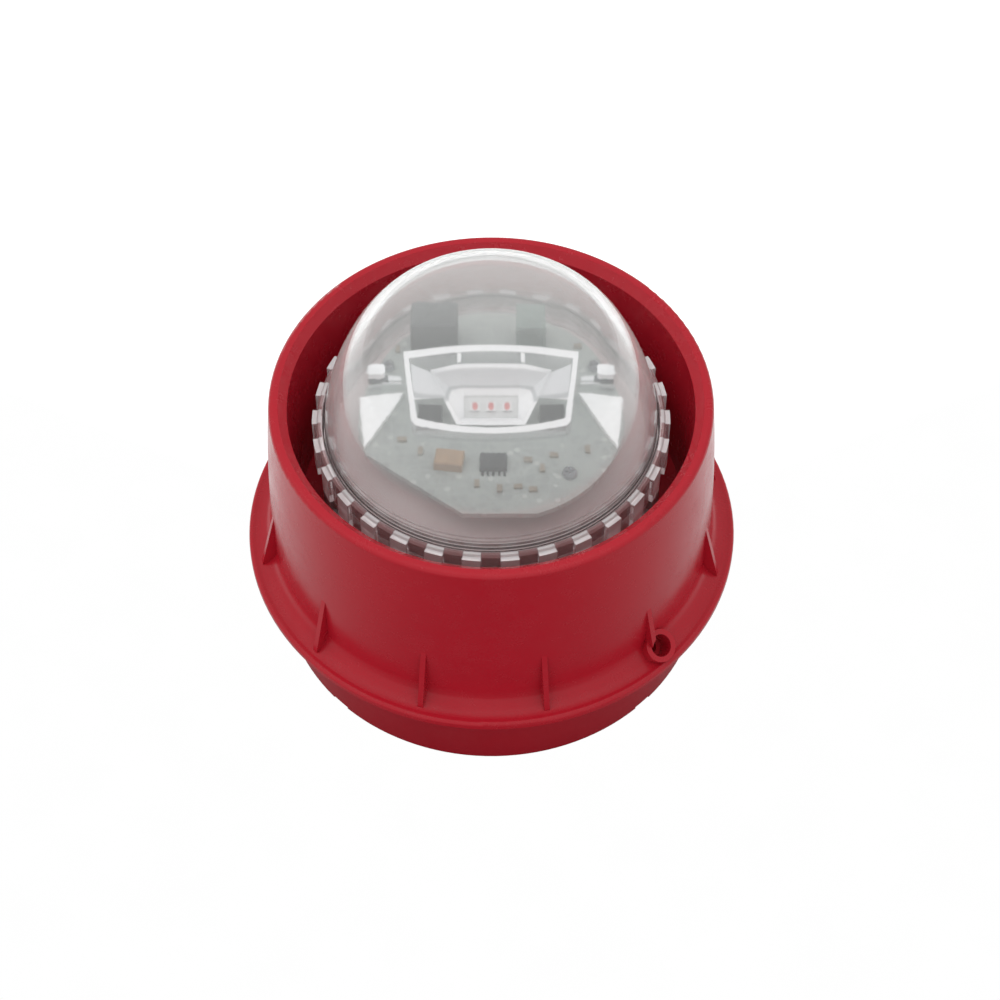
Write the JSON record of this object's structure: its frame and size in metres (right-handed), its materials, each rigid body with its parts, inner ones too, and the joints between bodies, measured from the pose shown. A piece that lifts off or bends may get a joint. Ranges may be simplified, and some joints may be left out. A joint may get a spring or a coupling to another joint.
{
  "type": "wall sounder beacon",
  "caption": "Round wall-mounted alarm sounder with a clear domed beacon lens inside a deep cup and a twist-lock mounting base",
  "frame": {"origin": "centre of the mounting base's back face, on the wall", "axes": "+Z out of the wall along the optical and twist axis, -Y the side the lock-screw boss and the light source face, +X to the right seen from the front with -Y down"},
  "size_m": [0.121, 0.121, 0.0985],
  "materials": {
    "red_base": "satin moulded red ABS",
    "red_housing": "satin moulded red ABS",
    "chassis_plastic": "fine-textured pale grey polycarbonate",
    "grey_cover": "fine-textured dark grey ABS",
    "black_plastic": "black acetal",
    "ivory_polyamide": "natural polyamide",
    "clear_lens": "clear polycarbonate, light haze",
    "clear_ring": "clear polycarbonate",
    "clear_optic": "clear acrylic, frosted edges",
    "white_reflector": "white, high-reflectance",
    "white_wing": "white, high-reflectance",
    "black_rubber": "matt nitrile rubber",
    "zinc_steel": "bright zinc-plated steel",
    "brass": "tinned brass",
    "spring_bronze": "phosphor bronze",
    "green_board": "green solder resist",
    "beacon_board": "grey-green solder resist",
    "white_board": "white solder resist",
    "chip_black": "black epoxy",
    "capacitor_can": "aluminium can",
    "copper_coil": "enamelled copper winding",
    "switch_blue": "blue thermoplastic",
    "switch_red": "red thermoplastic",
    "switch_white": "white thermoplastic",
    "piezo_white": "silvered piezo ceramic",
    "led_package": "white LED package with a phosphor window",
    "aluminium": "extruded aluminium",
    "ferrite_grey": "dark grey ferrite",
    "green_lacquer": "dark green lacquer",
    "tantalum_orange": "tan moulded case",
    "chip_ceramic": "ceramic chips with tinned ends"
  },
  "bodies": {
    "base": {"mounting_base": "red_base", "terminal_block": "ivory_polyamide", "terminal_clamps": "brass", "terminal_screws": "zinc_steel", "contact_springs": "spring_bronze", "block_screws": "zinc_steel"},
    "head": {"base_seal": "black_rubber", "sounder_housing": "red_housing", "sound_chassis": "chassis_plastic", "chassis_gasket": "black_rubber", "chassis_screws": "zinc_steel", "rear_cover": "grey_cover", "cover_screws": "zinc_steel", "contact_blades": "brass", "main_board": "green_board", "board_screws": "zinc_steel", "processor": "chip_black", "amplifier": "chip_black", "reservoir_capacitors": "capacitor_can", "sounder_coil": "copper_coil", "address_switch_tens": "switch_blue", "address_switch_units": "switch_blue", "option_switch": "switch_red", "link_socket": "chip_black", "link_pins": "brass", "sounder_baffle": "black_plastic", "baffle_screws": "zinc_steel", "piezo_plate": "brass", "piezo_ceramic": "piezo_white", "resonator_cap": "black_plastic", "piezo_contacts": "brass", "lens_dome": "clear_lens", "lens_ring": "clear_ring", "lens_seal": "black_rubber", "strobe_board": "beacon_board", "strobe_board_screws": "zinc_steel", "leds": "led_package", "led_board": "white_board", "led_bracket": "aluminium", "optic_frame": "clear_optic", "reflector": "white_reflector", "left_wing": "white_wing", "right_wing": "white_wing", "left_clip": "clear_optic", "right_clip": "clear_optic", "driver_transistors": "chip_black", "storage_inductor": "ferrite_grey", "flash_transformer": "green_lacquer", "tantalum_capacitor": "tantalum_orange", "strobe_controller": "chip_black", "chip_parts": "chip_ceramic"},
    "tens_rotor": {"address_rotor_tens": "switch_white"},
    "units_rotor": {"address_rotor_units": "switch_white"},
    "slider_1": {"option_slider_1": "switch_white"},
    "slider_2": {"option_slider_2": "switch_white"},
    "slider_3": {"option_slider_3": "switch_white"},
    "slider_4": {"option_slider_4": "switch_white"}
  },
  "joints": [
    {"name": "head_twist", "type": "hinge", "parent": "base", "child": "head", "pos_m": [0, 0, 0.02], "axis": [0, 0, 1], "range_deg": [0, 18]},
    {"name": "tens_switch_turn", "type": "hinge", "parent": "head", "child": "tens_rotor", "pos_m": [-0.015, -0.013, 0.026], "axis": [0, 0, -1], "continuous": true},
    {"name": "units_switch_turn", "type": "hinge", "parent": "head", "child": "units_rotor", "pos_m": [-0.0025, -0.013, 0.026], "axis": [0, 0, -1], "continuous": true},
    {"name": "option_1_slide", "type": "slide", "parent": "head", "child": "slider_1", "axis": [0, 1, 0], "range_m": [0, 0.0016]},
    {"name": "option_2_slide", "type": "slide", "parent": "head", "child": "slider_2", "axis": [0, 1, 0], "range_m": [0, 0.0016]},
    {"name": "option_3_slide", "type": "slide", "parent": "head", "child": "slider_3", "axis": [0, 1, 0], "range_m": [0, 0.0016]},
    {"name": "option_4_slide", "type": "slide", "parent": "head", "child": "slider_4", "axis": [0, 1, 0], "range_m": [0, 0.0016]}
  ]
}
